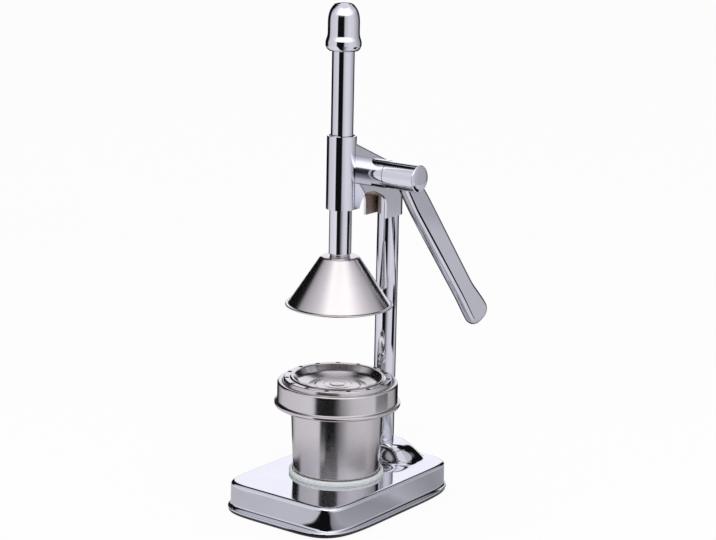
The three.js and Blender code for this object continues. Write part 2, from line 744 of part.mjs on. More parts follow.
// The funnel leads the juice from the dish into the cup, and rests on the cup's rim
function strainerFunnel() {
  const flangeRadius = coneRadius + funnelFlange;
  const spoutWallTop = spoutTop - coneWall + coneSlope * funnelWall;
  return ring([
    [flangeRadius, funnelTop], [coneRadius, funnelTop], [spoutInner, spoutTop],
    [spoutInner, spoutBottom], [spoutRadius, spoutBottom], [spoutRadius, spoutWallTop],
    [coneRadius, funnelTop - coneWall], [flangeRadius, funnelTop - funnelWall],
  ]);
}

// The dish lies on the collar's ledge: a raised rim, a flat gutter with drain holes and a skirt
function strainerDish() {
  const sheet = dishEdgeThickness;
  const ridge = dishRidgeHeight;
  const floor = ridge - dishFloorDrop;
  const edge = ledgeRadius - gap;
  const halfFloor = dishFloorRadius / 2;
  const crease = dishRidgeRadius + dishRidgeHalfWidth;
  const gutter = dishGutterHeight;
  const corner = edge - dishSkirtLean;
  const lip = dishRidgeRadius - dishRidgeHalfWidth;
  const dish = lathe([
    [0, floor + dishDomeRise - sheet], [halfFloor, floor + dishDomeRise * 0.7 - sheet],
    [dishFloorRadius, floor - sheet], [lip + sheet / 3, ridge - dishLipDrop - sheet],
    [dishRidgeRadius, ridge - sheet], [crease - sheet / 3, gutter - sheet],
    [corner - sheet, gutter - sheet], [edge - sheet, 0],
    [edge, 0], [edge, sheet], [corner, gutter - sheet / 3], [corner - sheet / 3, gutter],
    [crease, gutter], [dishRidgeRadius + sheet / 2, ridge - sheet / 8],
    [dishRidgeRadius, ridge], [dishRidgeRadius - sheet, ridge - sheet / 3],
    [lip, ridge - dishLipDrop], [dishFloorRadius, floor],
    [halfFloor, floor + dishDomeRise * 0.7], [0, floor + dishDomeRise],
  ]);
  const holeSides = 8;
  const holes = Array.from({ length: dishHoleCount }, (_, i) => {
    const angle = THREE.MathUtils.degToRad(dishFirstHole + (360 * i) / dishHoleCount - 90);
    return post(dishHoleRadius, -overrun, ridge + overrun, holeSides)
      .translate(dishHoleCircle * Math.cos(angle), dishHoleCircle * Math.sin(angle), 0);
  });
  return cut(dish, ...holes);
}

const press = new THREE.Group();

// Adds a named piece to a group, in a finish of its own
function add(group, name, geometry, finish, position = [0, 0, 0]) {
  const skin = closed(geometry);
  skin.computeVertexNormals();
  const material = new THREE.MeshStandardMaterial({ ...finish, flatShading: true });
  const mesh = new THREE.Mesh(skin, material);
  mesh.name = name;
  mesh.position.set(...position);
  group.add(mesh);
}

// The stand: base, column, head and what is fixed in them
const stand = new THREE.Group();
press.add(stand);
add(stand, 'base_pad', basePad(), rubber);
add(stand, 'base_shell', baseShell(), chrome);
add(stand, 'cup_seat_ring', cupSeatRing(), frosted, [0, 0, baseHeight]);
add(stand, 'column', tube(columnRadius - columnWall, columnRadius, seatZ, columnTop, rodSides),
  chrome, [0, columnY, 0]);
const washerTop = seatZ - baseWall;
const nutTop = washerTop - footWasherThickness;
add(stand, 'foot_washer', tube(tieRodRadius + gap, footWasherRadius, nutTop, washerTop, coarseSides),
  steel, [0, columnY, 0]);
add(stand, 'foot_nut', cut(hexagon(nutFlats, nutTop - nutHeight, nutTop),
  post(tieRodRadius + gap, nutTop - nutHeight - overrun, nutTop + overrun, coarseSides)), steel,
[0, columnY, 0]);
add(stand, 'tie_rod', post(tieRodRadius, nutTop - nutHeight - tieRodTail, columnTop + tieRodGrip,
  coarseSides), steel, [0, columnY, 0]);
add(stand, 'head_casting', headCasting(), chrome);
add(stand, 'ram_bush_upper', ramBush(), nylon, [0, 0, sleeveTop - ramBushRecess - ramBushLength]);
add(stand, 'ram_bush_lower', ramBush(), nylon, [0, 0, sleeveBottom + ramBushRecess]);
const shaftBush = (x0, x1) => alongX(tube(shaftRadius + gap, bushRadius, x0, x1, coarseSides));
add(stand, 'shaft_bush_right', shaftBush(pocketHalfWidth + gap, bossEnd - gap), bronze,
  [0, shaftY, shaftZ]);
add(stand, 'shaft_bush_left', shaftBush(-sleeveRadius - rearBossLength + gap, -pocketHalfWidth - gap),
  bronze, [0, shaftY, shaftZ]);

// The ram: what slides up and down
const ram = new THREE.Group();
press.add(ram);
add(ram, 'ram_rod', ramRod(), chrome);
add(ram, 'rack', prismX(rackShape(), -rackWidth / 2, rackWidth / 2), steel);
add(ram, 'ram_cap', ramCap(), chrome, [0, 0, capBottom]);
add(ram, 'hood_collar', tube(hoodBoltRadius + gap, rodRadius - hoodCollarInset, hoodTop, rodBottom,
  rodSides), satin);
add(ram, 'press_hood', pressHood(), satin, [0, 0, hoodRimBottom]);
const hoodWasherTop = hoodTop - hoodWall;
add(ram, 'hood_washer', tube(hoodBoltRadius + gap, hoodWasherRadius,
  hoodWasherTop - hoodWasherThickness, hoodWasherTop, coarseSides), steel);
add(ram, 'hood_bolt', hoodBolt(), steel, [0, 0, hoodWasherTop - hoodWasherThickness]);
add(ram, 'ram_plug', tube(hoodBoltRadius + gap, rodBore - gap, rodBottom, rodBottom + ramPlugLength,
  coarseSides), steel);

// What turns with the lever
const turning = new THREE.Group();
turning.position.set(0, shaftY, shaftZ);
press.add(turning);
add(turning, 'lever_shaft', leverShaft(), steel);
add(turning, 'pinion', prismX(pinionShape(), -pinionWidth / 2, pinionWidth / 2), steel);
const washerX = -sleeveRadius - rearBossLength - gap;
add(turning, 'shaft_washer', alongX(tube(shaftRadius + gap, shaftWasherRadius,
  washerX - shaftWasherThickness, washerX, coarseSides)), steel);
add(turning, 'shaft_circlip', shaftCirclip(), steel,
  [washerX - shaftWasherThickness - circlipThickness - gap, 0, 0]);
const lever = new THREE.Group();
lever.rotation.x = THREE.MathUtils.degToRad(leverRestAngle);
turning.add(lever);
add(lever, 'lever_arm', leverArm(), chrome);
add(lever, 'hub_cap', hubCap(), chrome);
add(lever, 'hub_grub_screw', post(grubRadius, shaftRadius + gap, hubRadius - gap, coarseSides)
  .rotateX(-Math.PI / 2), steel, [armCentreX, 0, 0]);

// What lifts off: the cup, and the strainer on it
const cupBottom = baseHeight + seatLedgeHeight + gap;
const loose = new THREE.Group();
press.add(loose);
add(loose, 'cup', cup(cupTop - cupBottom), satin, [0, 0, cupBottom]);
add(loose, 'strainer_collar', strainerCollar(), satin);
add(loose, 'strainer_funnel', strainerFunnel(), satin);
add(loose, 'strainer_dish', strainerDish(), satin, [0, 0, ledgeZ + gap]);

export default press;
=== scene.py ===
# %% [markdown]
# # A lever citrus press
# This lesson dresses a finished CAD model of a citrus press in chrome and brushed steel.
# The CAD model is loaded first as a fixed frame: it says where each piece sits and how it
# moves. Every piece modelled here stands in the place of one CAD piece, in metres.

# %% Load the frame
import json
import math

import bmesh
import bpy
from mathutils import Matrix, Vector


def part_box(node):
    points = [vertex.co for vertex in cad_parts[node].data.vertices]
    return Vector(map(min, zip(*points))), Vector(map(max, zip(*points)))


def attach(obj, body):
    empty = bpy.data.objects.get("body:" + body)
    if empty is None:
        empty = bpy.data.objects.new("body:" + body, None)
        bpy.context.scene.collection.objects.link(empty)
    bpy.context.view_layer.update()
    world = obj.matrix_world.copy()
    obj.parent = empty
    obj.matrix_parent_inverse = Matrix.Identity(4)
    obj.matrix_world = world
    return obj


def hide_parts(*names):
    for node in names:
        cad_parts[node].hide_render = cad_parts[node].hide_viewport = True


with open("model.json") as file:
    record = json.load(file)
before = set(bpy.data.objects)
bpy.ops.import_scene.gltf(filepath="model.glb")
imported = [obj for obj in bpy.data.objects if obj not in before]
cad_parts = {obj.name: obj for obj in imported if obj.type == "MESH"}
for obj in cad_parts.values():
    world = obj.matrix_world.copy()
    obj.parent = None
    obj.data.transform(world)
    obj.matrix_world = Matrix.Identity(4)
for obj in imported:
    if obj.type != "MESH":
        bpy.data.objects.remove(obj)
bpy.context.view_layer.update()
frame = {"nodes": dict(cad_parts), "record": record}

# %% [markdown]
# ## The camera
# A camera is a place, a direction and a lens. The picture was taken with a long lens from
# a little above, to the right of the front, so the upright tubes stay almost parallel. The
# camera's own axes are worked out from its turn, its tilt and a slight roll.

# %% Set the camera
MM = 0.001


def camera_axes(turn, tilt, roll):
    """The camera's right, up and forward axes from its angles in degrees."""
    turn, tilt, roll = (math.radians(a) for a in (turn, tilt, roll))
    forward = Vector((-math.sin(turn) * math.cos(tilt), math.cos(turn) * math.cos(tilt),
                      math.sin(tilt)))
    level = Vector((math.cos(turn), math.sin(turn), 0))
    upright = level.cross(forward)
    right = level * math.cos(roll) + upright * math.sin(roll)
    up = upright * math.cos(roll) - level * math.sin(roll)
    return right, up, forward


right, up, forward = camera_axes(turn=36.89, tilt=-13.38, roll=1.15)
camera_place = Vector((979.4, -1279.2, 587.0)) * MM
lens = bpy.data.cameras.new("camera")
lens.lens, lens.sensor_width, lens.sensor_fit = 98.93, 36, "HORIZONTAL"
camera = bpy.data.objects.new("camera", lens)
bpy.context.scene.collection.objects.link(camera)
camera.matrix_world = Matrix((right, up, -forward)).transposed().to_4x4()
camera.matrix_world.translation = camera_place
bpy.context.scene.camera = camera
bpy.context.scene.view_settings.view_transform = "Standard"
print("camera stands", round(camera_place.length, 2), "m from the origin")

# %% [markdown]
# ## Helpers for modelling by hand
# Three habits make most of the pieces. A turned piece starts as one corner point, which is
# extruded along half of its section and then spun round an axis, like clay on a wheel. A
# lofted piece starts as a ring of points that is extruded level by level, and each new
# level is placed by a formula. A carved piece has others joined to it or cut out of it.

# %% Choosing and drawing
def deselect():
    """Leaves edit mode and lets go of everything, because operators act on what is selected."""
    if bpy.context.object and bpy.context.object.mode != "OBJECT":
        bpy.ops.object.mode_set(mode="OBJECT")
    bpy.ops.object.select_all(action="DESELECT")


def pick(piece):
    deselect()
    piece.select_set(True)
    bpy.context.view_layer.objects.active = piece


def named(name):
    piece = bpy.context.object
    piece.name = piece.data.name = name
    bpy.ops.object.transform_apply(location=True, rotation=True, scale=True)
    return piece


def soften(corners, steps=5, closed=True):
    """An outline from (across, up, radius) corners, each rounded by its own radius."""
    rounded = []
    points = [Vector((across, up)) for across, up, _ in corners]
    for i, corner in enumerate(points):
        *plain, radius = corners[i]
        if radius <= 0 or (not closed and i in (0, len(points) - 1)):
            rounded.append(tuple(plain))
            continue
        before, after = points[i - 1] - corner, points[(i + 1) % len(points)] - corner
        half = before.angle(after) / 2
        reach = min(radius / math.tan(half), 0.48 * before.length, 0.48 * after.length)
        radius = reach * math.tan(half)
        inward = (before.normalized() + after.normalized()).normalized()
        middle = corner + inward * radius / math.sin(half)
        start = corner + before.normalized() * reach - middle
        end = corner + after.normalized() * reach - middle
        first = math.atan2(start.y, start.x)
        sweep = (math.atan2(end.y, end.x) - first + math.pi) % (2 * math.pi) - math.pi
        for k in range(steps + 1):
            angle = first + sweep * k / steps
            rounded.append((middle.x + radius * math.cos(angle), middle.y + radius * math.sin(angle)))
    return rounded


def flowing(points, steps=6):
    """A smooth curve through the points, as a bent spline lies through its pins."""
    curve = []
    ends = [points[0], *points, points[-1]]
    for a, b, c, d in zip(ends, ends[1:], ends[2:], ends[3:]):
        for k in range(steps):
            t = k / steps
            curve.append(tuple(
                0.5 * (2 * b[i] + (c[i] - a[i]) * t + (2 * a[i] - 5 * b[i] + 4 * c[i] - d[i]) * t * t
                       + (3 * b[i] - a[i] - 3 * c[i] + d[i]) * t ** 3) for i in (0, 1)))
    return [*curve, tuple(points[-1])]


print("drawing helpers ready")

# %% Turned, lofted and carved pieces
def turned(name, outline, steps=160, centre=(0, 0), closed=True):
    """Draws half a section as (radius, height) in millimetres and spins it round an upright axis."""
    deselect()
    r, z = outline[0]
    bpy.ops.mesh.primitive_plane_add(size=MM, location=((centre[0] + r) * MM, centre[1] * MM, z * MM))
    piece = named(name)
    bpy.ops.object.mode_set(mode="EDIT")
    bpy.ops.mesh.select_all(action="SELECT")
    bpy.ops.mesh.merge(type="CENTER")
    for r1, z1 in [*outline[1:], *(outline[:1] if closed else [])]:
        step = ((r1 - r) * MM, 0, (z1 - z) * MM)
        bpy.ops.mesh.extrude_vertices_move(TRANSFORM_OT_translate={"value": step})
        r, z = r1, z1
    bpy.ops.mesh.select_all(action="SELECT")
    pivot = (centre[0] * MM, centre[1] * MM, 0)
    bpy.ops.mesh.spin(steps=steps, angle=2 * math.pi, center=pivot, axis=(0, 0, 1))
    bpy.ops.mesh.select_all(action="SELECT")
    bpy.ops.mesh.remove_doubles(threshold=MM / 500)
    bpy.ops.mesh.normals_make_consistent(inside=False)
    bpy.ops.object.mode_set(mode="OBJECT")
    return piece


def lofted(name, rings):
    """Extrudes a ring of points from level to level, in millimetres, and closes both ends."""
    deselect()
    bpy.ops.mesh.primitive_circle_add(vertices=len(rings[0]), radius=0.01)
    piece = named(name)
    where = {}
    for i, vertex in enumerate(piece.data.vertices):
        vertex.co = Vector(rings[0][i]) * MM
        where[tuple(vertex.co)] = i
    bpy.ops.object.mode_set(mode="EDIT")
    bpy.ops.mesh.select_all(action="SELECT")
    for level in rings[1:]:
        bpy.ops.mesh.extrude_region_move()
        mesh = bmesh.from_edit_mesh(piece.data)
        fresh = {}
        for vertex in [v for v in mesh.verts if v.select]:
            i = where[tuple(vertex.co)]
            vertex.co = Vector(level[i]) * MM
            fresh[tuple(vertex.co)] = i
        bmesh.update_edit_mesh(piece.data)
        where = fresh
    bpy.ops.mesh.select_all(action="SELECT")
    bpy.ops.mesh.fill_holes(sides=0)
    bpy.ops.mesh.select_all(action="SELECT")
    bpy.ops.mesh.normals_make_consistent(inside=False)
    bpy.ops.object.mode_set(mode="OBJECT")
    return piece


def modify(piece, kind, **settings):
    """Adds a modifier, sets it and applies it at once."""
    pick(piece)
    step = piece.modifiers.new(kind.lower(), kind)
    for key, value in settings.items():
        setattr(step, key, value)
    bpy.ops.object.modifier_apply(modifier=step.name)


def carve(piece, *tools, operation="DIFFERENCE"):
    for tool in tools:
        modify(piece, "BOOLEAN", object=tool, operation=operation, solver="EXACT")
        bpy.data.objects.remove(tool)


SHARP = math.radians(32)


def round_edges(piece, width, segments):
    """Breaks the sharp edges, as tumbling and polishing do, and keeps the broad faces flat."""
    modify(piece, "WELD", merge_threshold=MM / 200)
    modify(piece, "BEVEL", width=width * MM, segments=segments, limit_method="ANGLE",
           angle_limit=SHARP, use_clamp_overlap=True)
    pick(piece)
    bpy.ops.object.shade_smooth()
    modify(piece, "WEIGHTED_NORMAL", keep_sharp=True)


def smooth(piece, angle):
    pick(piece)
    bpy.ops.object.shade_smooth_by_angle(angle=math.radians(angle))
    return piece


def lay(piece, turn=(0, 0, 0), move=(0, 0, 0)):
    """Turns a piece about the origin, moves it in millimetres and applies both."""
    pick(piece)
    piece.rotation_euler = [math.radians(a) for a in turn]
    piece.location = Vector(move) * MM
    bpy.ops.object.transform_apply(location=True, rotation=True, scale=True)
    return piece


print("modelling helpers ready")

# %% [markdown]
# ## Finishes as recipes of nodes
# A finish is a small recipe: a base colour, how rough the surface is and how it dents the
# light. Noise read from the object's own coordinates gives each its uneven detail: smudges
# on chrome, fine turning lines on steel. All scales are per metre, since the press is
# modelled at its real size.

# %% A small kit for nodes
def maker(tree):
    """A function that adds a node to the tree, sets or joins its sockets and returns it."""
    def node(kind, inputs=None, **settings):
        made = tree.nodes.new("ShaderNode" + kind)
        for key, value in settings.items():
            setattr(made, key, value)
        for key, value in (inputs or {}).items():
            socket = made.inputs[key]
            if kind == "Mix":
                socket = next(i for i in made.inputs if i.name == key and i.enabled)
            if hasattr(value, "links"):
                tree.links.new(value, socket)
            else:
                socket.default_value = value
        return made

    return node


def recipe(name):
    """A new material, its shader, and the functions that add and join nodes."""
    material = bpy.data.materials.new(name)
    material.use_nodes = True
    tree = material.node_tree
    return material, tree.nodes["Principled BSDF"], maker(tree), tree.links.new


def reckon(node, operation, *values, **settings):
    """The result of one sum; each value may be a number or the output of another node."""
    return node("Math", dict(enumerate(values)), operation=operation, **settings).outputs["Value"]


def noise(node, place, scale, detail, roughness=0.5):
    """Soft blotches from 0 to 1; the scale says how many lie in a metre."""
    return node("TexNoise", {"Vector": place, "Scale": scale, "Detail": detail,
                             "Roughness": roughness}).outputs["Fac"]


def mingle(node, first, share, second):
    """So much of the first pattern, and the rest from the second."""
    rest = reckon(node, "MULTIPLY", second, 1 - share)
    return reckon(node, "MULTIPLY_ADD", first, share, rest)


def span(node, value, low, high):
    """A value from 0 to 1 stretched between two others."""
    return node("MapRange", {"Value": value, "To Min": low, "To Max": high}).outputs["Result"]


def blend(node, value, first, second):
    """A mix of two colours; each may be a colour or the output of another node."""
    return node("Mix", {"Factor": value, "A": first, "B": second}, data_type="RGBA").outputs["Result"]


def tint(node, value, dark, light):
    return blend(node, value, (*dark, 1), (*light, 1))


def relief(node, link, shader, height, distance, strength=1.0):
    """Dents the light by a height pattern; distance is the depth in metres."""
    bump = node("Bump", {"Height": height})
    bump.inputs["Strength"].default_value = strength
    bump.inputs["Distance"].default_value = distance
    link(bump.outputs["Normal"], shader.inputs["Normal"])


print("node kit ready")

# %% [markdown]
# ### Chrome
# Chrome has hardly any colour of its own: a faint lavender grey. A cast piece keeps a very
# slight unevenness under the plating, a drawn tube is straighter. Smudges make small areas
# a touch duller. Inside the head, a box in the object's own coordinates marks where a darker,
# warmer colour is painted into the chrome as shade and brownish reflection, and the chrome is made duller
# there.

# %% Chrome on castings and tubes
CAST = {"dark": (0.70, 0.705, 0.765), "light": (0.79, 0.795, 0.845),
        "waviness": 0.00005, "wave_scale": 34.0}
DRAWN = {"dark": (0.71, 0.715, 0.775), "light": (0.80, 0.805, 0.855),
         "waviness": 0.00002, "wave_scale": 22.0}
# The colour painted inside the head as shade and brownish reflection, and how much duller the chrome is made
# there.
INSIDE_SHADE_PAINT, INSIDE_DULLNESS = (0.60, 0.50, 0.42, 1), 0.42
CLEAN_ROUGH, SMUDGE_ROUGH, SPECK_ROUGH = 0.035, 0.16, 0.03


def inside_box(node, place, low, high):
    """1 within a box given in millimetres, 0 outside it."""
    parts = node("SeparateXYZ", {"Vector": place}).outputs
    hidden = 1.0
    for key, a, b in zip("XYZ", low, high):
        for operation, limit in (("GREATER_THAN", a), ("LESS_THAN", b)):
            test = reckon(node, operation, parts[key], limit * MM)
            hidden = reckon(node, "MULTIPLY", hidden, test)
    return hidden


def chrome(name, dark, light, waviness, wave_scale, painted_shade_box=None):
    material, shader, node, link = recipe(name)
    place = node("TexCoord").outputs["Object"]
    smudge = noise(node, place, 38.0, 5.0, 0.6)
    speck = reckon(node, "GREATER_THAN", noise(node, place, 900.0, 2.0), 0.72)
    film = reckon(node, "POWER", smudge, 2.2)
    dull = reckon(node, "MULTIPLY_ADD", film, SMUDGE_ROUGH, CLEAN_ROUGH)
    rough = reckon(node, "MULTIPLY_ADD", speck, SPECK_ROUGH, dull)
    colour = tint(node, smudge, dark, light)
    # Painted shade and reflection: a darker, warmer colour inside the box in the head's hollows, with duller
    # chrome there.
    if painted_shade_box:
        hidden = inside_box(node, place, *painted_shade_box)
        colour = blend(node, hidden, colour, INSIDE_SHADE_PAINT)
        rough = reckon(node, "MULTIPLY_ADD", hidden, INSIDE_DULLNESS, rough)
    link(colour, shader.inputs["Base Color"])
    link(rough, shader.inputs["Roughness"])
    shader.inputs["Metallic"].default_value = 1.0
    relief(node, link, shader, noise(node, place, wave_scale, 1.5), waviness)
    return material


finishes = {"chrome_casting": chrome("chrome_casting", **CAST), "chrome_tube": chrome("chrome_tube", **DRAWN)}
print("chrome:", [m.name for m in finishes.values()])

# %% [markdown]
# ### Satin stainless steel
# The hood, the collar, the dish and the cup were turned and brushed on a lathe, so their
# fine lines run round the axis. The lines stretch every highlight up and down, which is
# what the shader's anisotropy does, and they show as thin paler and darker threads.

# %% Satin steel, brushed round the axis
def satin(name, dark, light, rough, stretch):
    material, shader, node, link = recipe(name)
    place = node("TexCoord").outputs["Object"]
    parts = node("SeparateXYZ", {"Vector": place}).outputs
    across = node("CombineXYZ", {"X": parts["X"], "Y": parts["Y"]}).outputs["Vector"]
    radius = node("VectorMath", {0: across}, operation="LENGTH").outputs["Value"]
    around = reckon(node, "ARCTAN2", parts["Y"], parts["X"])
    drift = reckon(node, "MULTIPLY", around, 0.0022)
    lines = node("CombineXYZ", {"X": drift, "Y": radius, "Z": parts["Z"]}).outputs["Vector"]
    fine = noise(node, lines, 5200.0, 3.0, 0.65)
    grain = mingle(node, fine, 0.6, noise(node, lines, 700.0, 2.0))
    shade = mingle(node, noise(node, place, 30.0, 4.0), 0.35, grain)
    link(tint(node, shade, dark, light), shader.inputs["Base Color"])
    link(span(node, grain, rough - 0.03, rough + 0.04), shader.inputs["Roughness"])
    shader.inputs["Metallic"].default_value = 1.0
    shader.inputs["Anisotropic"].default_value = stretch
    shader.inputs["Anisotropic Rotation"].default_value = 0.25
    tangent = node("Tangent", direction_type="RADIAL", axis="Z").outputs["Tangent"]
    link(tangent, shader.inputs["Tangent"])
    relief(node, link, shader, fine, 0.000008, 0.3)
    return material


finishes["satin_stainless"] = satin(
    "satin_stainless", dark=(0.56, 0.525, 0.535), light=(0.72, 0.685, 0.695), rough=0.2, stretch=0.75)
print("satin:", finishes["satin_stainless"].name)

# %% [markdown]
# ### Plain fastener steel, bronze, nylon, frosted plastic and rubber
# The small and hidden pieces have plainer finishes: zinc-plated steel with its faint
# mottled bloom, oily bronze, milky nylon. The ring under the cup is frosted plastic, which
# lets light in and scatters it. The pad under the base is matt black rubber.

# %% The plainer finishes
GRIT = 400.0


def mottled(name, dark, light, scale, rough, metal, depth):
    material, shader, node, link = recipe(name)
    place = node("TexCoord").outputs["Object"]
    voronoi = node("TexVoronoi", {"Vector": place, "Scale": scale}, feature="SMOOTH_F1")
    bloom = mingle(node, voronoi.outputs["Distance"], 0.4, noise(node, place, scale * 0.6, 4.0))
    grain = noise(node, place, GRIT, 3.0)
    link(tint(node, bloom, dark, light), shader.inputs["Base Color"])
    link(span(node, grain, rough - 0.06, rough + 0.1), shader.inputs["Roughness"])
    shader.inputs["Metallic"].default_value = metal
    relief(node, link, shader, grain, depth)
    return material


# Name, darkest and lightest colour, mottles in a metre, roughness, metal or not, depth of the grain
for row in [("zinc_steel", (0.42, 0.43, 0.45), (0.62, 0.63, 0.66), 260.0, 0.3, 1.0, 0.00001),
            ("bronze", (0.40, 0.25, 0.10), (0.62, 0.42, 0.20), 180.0, 0.38, 1.0, 0.00002),
            ("nylon", (0.76, 0.76, 0.71), (0.86, 0.86, 0.82), 120.0, 0.5, 0.0, 0.00001),
            ("rubber_pad", (0.012, 0.012, 0.013), (0.03, 0.03, 0.032), 300.0, 0.7, 0.0, 0.00005),
            ("frosted_plastic", (0.88, 0.93, 0.95), (0.95, 0.975, 0.985), 90.0, 0.3, 0.0, 0.00001)]:
    finishes[row[0]] = mottled(*row)
frosted = finishes["frosted_plastic"].node_tree.nodes["Principled BSDF"].inputs
frosted["Transmission Weight"].default_value = 0.15
frosted["Subsurface Weight"].default_value = 0.25
frosted["Subsurface Radius"].default_value = (0.002, 0.003, 0.003)
print("finishes:", sorted(finishes))

# %% [markdown]
# ### Handing a piece in
# Each finished piece gets its finish, rides on the CAD body that carries it, and says
# which CAD piece it stands for. Doing all of it in one helper leaves nothing out.

# %% A helper that hands a piece in
def hand_in(piece, body, slot, *nodes, finish=None):
    piece.data.materials.clear()
    piece.data.materials.append(finish or finishes[slot])
    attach(piece, body)
    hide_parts(*nodes)
    print(piece.name, "has", len(piece.data.polygons), "faces, for", ", ".join(nodes))


# %% [markdown]
# ## The base
# The base is a die-cast tray, chromed all over. Seen from above its outline bows outwards,
# which a formula with a high power gives: a power of two is an ellipse, and a high power
# comes near to a rectangle. The wall flares out at the foot, rolls over in a tight bend at
# the top, and the top swells into a hump that carries the column. The mirror finish shows
# every unevenness, so the whole skin is one loft with closely spaced levels.

# %% The outline of the base
FOOT = {"half": (65.35, 93.13), "middle": 4.6, "power": 5.0}
TOP = {"half": (59.9, 86.2), "middle": 4.9, "power": 8.4}
BASE_TOP = 25.0
EDGE_RADIUS = 3.2
COLUMN_Y = 67.7


def bowed(value, power):
    return math.copysign(abs(value) ** (2 / power), value)


def base_point(angle, lift, inset):
    """A point of the outline, from the foot (lift 0) to the top (lift 1), inset millimetres inside."""
    ends = []
    for shape in (FOOT, TOP):
        half_x, half_y = (half - inset for half in shape["half"])
        ends.append(Vector((half_x * bowed(math.cos(angle), shape["power"]),
                            shape["middle"] + half_y * bowed(math.sin(angle), shape["power"]))))
    return ends[0].lerp(ends[1], lift)


def even_angles(count):
    """Angles that spread the points evenly along the bowed outline."""
    fine = [2 * math.pi * i / 4000 for i in range(4001)]
    points = [base_point(a, 1, 0) for a in fine]
    run = [0.0]
    for a, b in zip(points, points[1:]):
        run.append(run[-1] + (b - a).length)
    angles, k = [], 0
    for i in range(count):
        goal = run[-1] * (i + 0.5) / count
        while run[k + 1] < goal:
            k += 1
        share = (goal - run[k]) / (run[k + 1] - run[k])
        angles.append(fine[k] + share * (fine[k + 1] - fine[k]))
    return angles


base_angles = even_angles(240)
print("outline of", len(base_angles), "points")

# %% The hump's height
HUMP = {"land": 11.5, "height": 13.5, "half": 44.0, "ahead": 26.0, "behind": 20.0,
        "power": 3, "fullness": 1.5}


def hump_height(x, y):
    """Height of the swelling over the flat top, highest on a round land under the column."""
    land, height, power = HUMP["land"], HUMP["height"], HUMP["power"]
    dx, dy = x, y - COLUMN_Y
    away = math.hypot(dx, dy)
    if away <= land:
        return height
    reach = HUMP["ahead"] if dy < 0 else HUMP["behind"]
    oval = away / (abs(dx / HUMP["half"]) ** power + abs(dy / reach) ** power) ** (1 / power)
    share = (away - land) / (oval - land)
    return height * (0.5 + 0.5 * math.cos(math.pi * min(share, 1.0) ** HUMP["fullness"]))


def base_level(lift, inset, z):
    return [(*base_point(a, lift, inset), z) for a in base_angles]


print("the hump stands", HUMP["height"], "mm over the top")

# %% The base, level by level
FOOT_BEAD = [(0, 0.9, 2.25), (0, 0.25, 2.35), (0, 0, 2.7), (0, 0, 3.4), (0, 0.2, 3.85)]
FLARE_LOW, FLARE_HIGH, FLARE_LIFT, FLARE_INSET = 4.0, 7.0, 0.9, 0.2
BEND = BASE_TOP - EDGE_RADIUS
levels = [base_level(*level) for level in FOOT_BEAD]
for t in [0.02, 0.06, 0.12, 0.2, 0.3, 0.42, 0.56, 0.72, 0.86, 1.0]:
    levels.append(base_level(FLARE_LIFT * (1 - (1 - t) ** 3), FLARE_INSET * (1 - t),
                             FLARE_LOW + (FLARE_HIGH - FLARE_LOW) * t ** 1.3))
for t in [0.25, 0.5, 0.75, 1.0]:
    levels.append(base_level(FLARE_LIFT + (1 - FLARE_LIFT) * t, 0, FLARE_HIGH + (BEND - FLARE_HIGH) * t))
for k in range(1, 11):
    turn = math.pi / 2 * k / 10
    levels.append(base_level(1, EDGE_RADIUS * (1 - math.cos(turn)), BEND + EDGE_RADIUS * math.sin(turn)))
middle = Vector((0, TOP["middle"]))
for k in range(1, 66):
    share = 1 - k / 66.5
    ring = []
    for a in base_angles:
        flat = middle + (base_point(a, 1, EDGE_RADIUS) - middle) * share
        ring.append((flat.x, flat.y, BASE_TOP + hump_height(flat.x, flat.y)))
    levels.append(ring)
base = smooth(lofted("base_shell_skin", levels), 50)
hand_in(base, "stand", "chrome_casting", "base_shell")

# %% [markdown]
# ## The rubber pad and the frosted ring
# The pad peeps out under the base as a thin black line. The frosted ring keeps the cup in
# its place on the slippery chrome; it has a soft rounded top and a fine groove. Each
# corner of a turned outline is a radius, a height and the rounding that it gets.

# %% Pad and seat ring
pad_levels = [(0, 1.3, 0.0), (0, 0.8, 0.15), (0, 0.6, 0.5), (0, 0.6, 2.2)]
pad = smooth(lofted("rubber_pad_skin", [base_level(*level) for level in pad_levels]), 50)
hand_in(pad, "stand", "rubber_pad", "base_pad")

seat_corners = [(33.9, 25.02, 0.4), (40.7, 25.02, 0.3), (40.7, 25.8, 0.1), (40.3, 26.0, 0.1),
                (40.7, 26.2, 0.1), (40.7, 28.8, 1.3), (37.9, 28.8, 0.6), (37.9, 26.5, 0.5),
                (33.9, 26.5, 0.4)]
seat = smooth(turned("cup_seat_skin", soften(seat_corners)), 60)
hand_in(seat, "stand", "frosted_plastic", "cup_seat_ring")

# %% [markdown]
# ## The column
# A plain chromed tube. It is turned as a real tube with a wall, so that its ends are
# right from any side, with its rims broken by a small radius.

# %% Column
tube_corners = [(7.5, 38.5, 0.4), (9.5, 38.5, 0.4), (9.5, 262.0, 0.4), (7.5, 262.0, 0.4)]
column = smooth(turned("column_tube", soften(tube_corners, 3), 128, (0, COLUMN_Y)), 60)
hand_in(column, "stand", "chrome_tube", "column")

# %% [markdown]
# ## The head
# The head is one casting: a sleeve that guides the ram, a web with a sloped top, a socket
# that grips the column between two cheeks, and a boss for the lever's shaft. It could be
# pushed and pulled from one block, but it is clearer to model each form as a solid of its
# own and to join and cut them, as a pattern maker would. At the end all edges get a small
# radius, because cast and polished edges are never sharp, and a mirror shows that at once.

# %% The web with its sloped top and arch
def stadium(half, y0, y1, z, count=96):
    """A ring with round ends about two centres on the Y axis."""
    ring = []
    for i in range(count):
        a = math.pi * 2 * (i + 0.5) / count
        x, y = half * math.cos(a), half * math.sin(a)
        ring.append((x, y + (y1 if math.sin(a) > 0 else y0), z))
    return ring


def slab(name, outline, x0, x1):
    """A (Y, Z) outline extruded along X."""
    return lofted(name, [[(x, y, z) for y, z in outline] for x in (x0, x1)])


